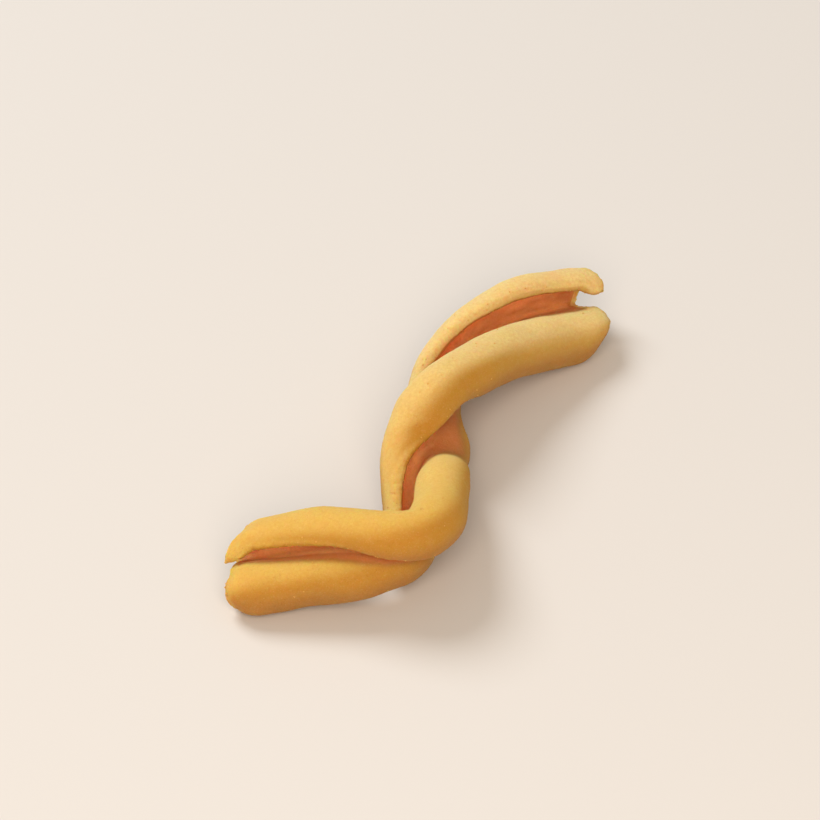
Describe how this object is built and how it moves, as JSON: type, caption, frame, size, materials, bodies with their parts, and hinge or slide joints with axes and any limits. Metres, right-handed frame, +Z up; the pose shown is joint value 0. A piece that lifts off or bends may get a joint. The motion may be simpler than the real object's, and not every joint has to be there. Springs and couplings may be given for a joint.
{
  "type": "strozzapreti pasta",
  "caption": "Short length of dried pasta, a dough strip with both edges curled opposite ways, twisted once and gently bent.",
  "frame": {"origin": "on the surface that it lies on, under the middle of its box", "axes": "+Z up, +Y along its longest extent, from the end rolled tight towards the end that has sprung open, +X to the right of that"},
  "size_m": [0.0372, 0.0462, 0.0104],
  "materials": {
    "pasta": "matt, finely floured"
  },
  "bodies": {
    "root": {"strozzapreti": "pasta"}
  },
  "joints": []
}
